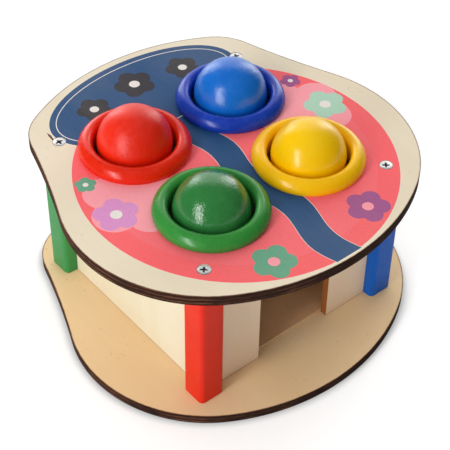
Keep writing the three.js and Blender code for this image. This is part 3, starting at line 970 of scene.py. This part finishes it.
ring_colours = {
    "red": (srgb(234, 40, 6), srgb(226, 34, 4)),
    "blue": (srgb(24, 66, 186), srgb(20, 58, 172)),
    "green": (srgb(58, 148, 62), srgb(50, 138, 56)),
    "yellow": (srgb(255, 200, 0), srgb(255, 192, 0)),
}
rubber, tree, place = new_material("grip_rubber")
dust = noise(tree, place, 260.0, 3.0)
surface(tree, noise(tree, place, 1500.0), 0.2, 0.0001, {
    "Base Color": mixed(tree, spread(tree, dust, 0.35, 0.65), srgb(38, 38, 40), srgb(62, 61, 62)),
    "Roughness": spread(tree, dust, 0.3, 0.7, 0.75, 0.92)})

for name, place in ring_places.items():
    seat = (hub.x + place.x, hub.y + place.y, top_high)
    colour, shade = ring_colours[name]
    gloss = painted(f"{name}_ring_gloss", colour, shade, roughness=0.24, grain=0.1, dents=0.12, shine=0.35)
    turned(f"{name}_roll_ring", ring_profile(), seat, RING_STEPS, gloss, f"{name}_ring", "bench")
    ball_height = middle(f"{name}_ball").z - top_high
    turned(f"{name}_rubber_ring", grip_profile(ball_height), seat, GRIP_STEPS, rubber, f"{name}_grip_ring",
           "bench")


# Balls
# Turned from wood and sprayed in gloss paint, a little smaller than the bore of the rings. Fine grain shows
# in the highlights.
ball_colours = {
    "red": (srgb(242, 42, 12), srgb(230, 36, 8), 0.34, 0.5, 0.4),
    "blue": (srgb(20, 116, 216), srgb(16, 106, 204), 0.20, 0.6, 0.6),
    "green": (srgb(56, 134, 68), srgb(46, 120, 58), 0.12, 0.6, 0.7),
    "yellow": (srgb(255, 206, 0), srgb(255, 200, 0), 0.22, 0.3, 0.4),
}
BALL_ROWS = 64
BALL_STEPS = 128
BALL_GRAIN = 3.0
for name, (colour, shade, roughness, dents, shine) in ball_colours.items():
    turns = [math.pi * i / BALL_ROWS for i in range(1, BALL_ROWS)]
    profile = [(BALL_RADIUS * math.sin(turn), -BALL_RADIUS * math.cos(turn)) for turn in turns]
    profile = [(0, -BALL_RADIUS), *profile, (0, BALL_RADIUS)]
    paint = painted(f"{name}_ball_paint", colour, shade, roughness, BALL_GRAIN, dents, shine)
    turned(f"{name}_turned_ball", profile, middle(f"{name}_ball"), BALL_STEPS, paint, f"{name}_ball",
           f"{name}_ball")


# Screws
# Eight bright zinc-plated countersunk wood screws with a cross recess: one through each plate into each
# end of each post.
SCREW_RIM = 0.5
SCREW_EASE = 0.25
SCREW_EASE_MIDDLE = 0.07
CROSS_LENGTH = 4.4
CROSS_WIDTH = 1.1
CROSS_DEPTH = 1.3
CROSS_EASE = 0.3
CROSS_EASE_DEPTH = 0.12
HEAD_STEPS = 36
SHANK_ROWS = 96
THREAD_PITCH = 1.4
THREAD_DEPTH = 0.4
POINT_LENGTH = 5


def cross_loop(length, width):
    """A cross with rounded arm ends, anticlockwise."""
    arm = []
    for step in np.linspace(-math.pi / 2, math.pi / 2, 6):
        arm.append(((length - width) / 2 + width / 2 * math.cos(step), width / 2 * math.sin(step)))
    arm.append((width / 2, width / 2))
    arms = ((1, 0), (0, 1), (-1, 0), (0, -1))
    return np.array([(c * x - s * y, s * x + c * y) for c, s in arms for x, y in arm])


def screw_head():
    """The head with its recess, face at height 0, open where the shank goes on, in millimetres."""
    mesh = bmesh.new()
    scorch_and_painted_light = mesh.verts.layers.float.new("scorch_and_painted_light")
    face_radius = SCREW_HEAD - SCREW_EASE
    side = [(face_radius, 0), (SCREW_HEAD - SCREW_EASE_MIDDLE, -SCREW_EASE_MIDDLE), (SCREW_HEAD, -SCREW_EASE),
            (SCREW_HEAD, -SCREW_RIM), (SCREW_SHANK, -SCREW_RIM - (SCREW_HEAD - SCREW_SHANK))]
    ring_wall(mesh, scorch_and_painted_light, [(circle((0, 0), radius, HEAD_STEPS), height, 0) for radius, height in side])
    lip = cross_loop(CROSS_LENGTH + CROSS_EASE, CROSS_WIDTH + CROSS_EASE)
    mouth = cross_loop(CROSS_LENGTH, CROSS_WIDTH)
    pit = cross_loop(CROSS_LENGTH * 0.5, CROSS_WIDTH * 0.6)
    # The recess walls and floor are marked for a painted shade: the steel is darker grey there.
    ring_wall(mesh, scorch_and_painted_light, [(lip, 0, 0), (mouth, -CROSS_EASE_DEPTH, 0.7), (pit, -CROSS_DEPTH, 1)])
    fill(mesh, 0, circle((0, 0), face_radius, HEAD_STEPS), [lip])
    pit_floor, _ = fill(mesh, -CROSS_DEPTH, pit, [])
    for face in pit_floor:
        for vertex in face.verts:
            vertex[scorch_and_painted_light] = 1
    data = bpy.data.meshes.new("screws")
    sewn(mesh).transform(Matrix.Scale(MM, 4))
    mesh.to_mesh(data)
    mesh.free()
    return data


steel, tree, place = new_material("screw_steel")
blotch = noise(tree, place, 500.0, 3.0)
plating = mixed(tree, spread(tree, blotch, 0.3, 0.7), srgb(190, 190, 190), srgb(222, 222, 222))
# Painted shade: the marked cross recess is darker grey, in place of its own shadow.
recess = add_node(tree, "ShaderNodeAttribute", attribute_name="scorch_and_painted_light").outputs["Fac"]
painted_recess_shade = spread(tree, recess, 0.2, 0.9)
surface(tree, noise(tree, place, 1800.0), 0.3, 0.0001, {
    "Base Color": mixed(tree, painted_recess_shade, plating, srgb(112, 110, 108)), "Metallic": 1.0,
    "Roughness": spread(tree, blotch, 0.3, 0.7, 0.26, 0.42)})

# The threaded shank: a grid wound round the axis, whose radius follows the thread and tapers to the point
lengths = ["Spacing", "Upper face", "Lower face", "Shank radius", "Thread depth", "Thread pitch",
           "Shank top", "Shank length", "Point length"]
screwing, given, results = new_group("screws_in_both_plates", {
    "Head": "Geometry", "Middle": "Vector", "Material": "Material", **dict.fromkeys(lengths, "Float"),
}, {"Geometry": "Geometry"}, "GeometryNodeTree")
calc = partial(maths, screwing)
grid = add_node(screwing, "GeometryNodeMeshGrid", {
    "Vertices X": HEAD_STEPS + 1, "Vertices Y": SHANK_ROWS + 1})
column, row = grid_place(screwing, SHANK_ROWS + 1)
round_share = calc("DIVIDE", column, HEAD_STEPS)
down_share = calc("DIVIDE", row, SHANK_ROWS)
down = calc("MULTIPLY", down_share, given["Shank length"])
winding = calc("ADD", calc("DIVIDE", down, given["Thread pitch"]), round_share)
groove = calc("MULTIPLY", calc("MULTIPLY", calc("PINGPONG", winding, 0.5), 2.0), given["Thread depth"])
depth = calc("MULTIPLY", groove, spread(screwing, down_share, 0.02, 0.30, smooth=False))
left = calc("SUBTRACT", given["Shank length"], down)
taper = calc("MINIMUM", calc("DIVIDE", left, given["Point length"]), 1.0)
radius = calc("MULTIPLY", calc("SUBTRACT", given["Shank radius"], depth), taper)
wound = round_axis(screwing, round_share, radius, calc("SUBTRACT", given["Shank top"], down))
shank = add_node(screwing, "GeometryNodeSetPosition", {"Geometry": grid, "Position": wound})
joined = add_node(screwing, "GeometryNodeJoinGeometry", {0: given["Head"]})
screwing.links.new(shank.outputs[0], joined.inputs[0])
whole = add_node(screwing, "GeometryNodeMergeByDistance", {"Geometry": joined, "Distance": 2 * CLOSE * MM})

# One screw at each corner of a square over the upper plate, and one turned over at each below the lower
sets = add_node(screwing, "GeometryNodeJoinGeometry")
for face, over in (("Upper face", 0.0), ("Lower face", math.pi)):
    square = add_node(screwing, "GeometryNodeMeshGrid", {
        "Size X": given["Spacing"], "Size Y": given["Spacing"], "Vertices X": 2, "Vertices Y": 2})
    height = add_node(screwing, "ShaderNodeCombineXYZ", {"Z": given[face]})
    shift = add_node(screwing, "ShaderNodeVectorMath", {0: height, 1: given["Middle"]}, operation="ADD")
    corners = add_node(screwing, "GeometryNodeSetPosition", {"Geometry": square, "Offset": shift})
    spin = add_node(screwing, "FunctionNodeRandomValue", {
        2: 0.0, 3: math.pi / 2, "Seed": 5}, data_type="FLOAT")
    facing = add_node(screwing, "ShaderNodeCombineXYZ", {"X": over, "Z": spin.outputs[1]})
    copies = add_node(screwing, "GeometryNodeInstanceOnPoints", {
        "Points": corners, "Instance": whole, "Rotation": facing})
    screwing.links.new(copies.outputs[0], sets.inputs[0])
made_real(screwing, results, sets, given["Material"])

screws = bpy.data.objects.new("screws", screw_head())
made_by(screws, screwing, sharp=35, values={
    "Spacing": (post_places["blue"].x - post_places["red"].x) * MM,
    "Middle": (hub.x * MM, hub.y * MM, 0),
    "Upper face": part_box("top_screw_red_post")[1].z,
    "Lower face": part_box("base_screw_red_post")[0].z,
    "Shank radius": SCREW_SHANK * MM,
    "Thread depth": THREAD_DEPTH * MM,
    "Thread pitch": THREAD_PITCH * MM,
    "Shank top": -(SCREW_RIM + SCREW_HEAD - SCREW_SHANK) * MM,
    "Shank length": (SCREW_LENGTH - SCREW_RIM - SCREW_HEAD + SCREW_SHANK) * MM,
    "Point length": POINT_LENGTH * MM,
    "Material": steel,
})
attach(screws, "bench")
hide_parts(*[f"{plate}_screw_{name}_post" for plate in ("top", "base") for name in post_places])
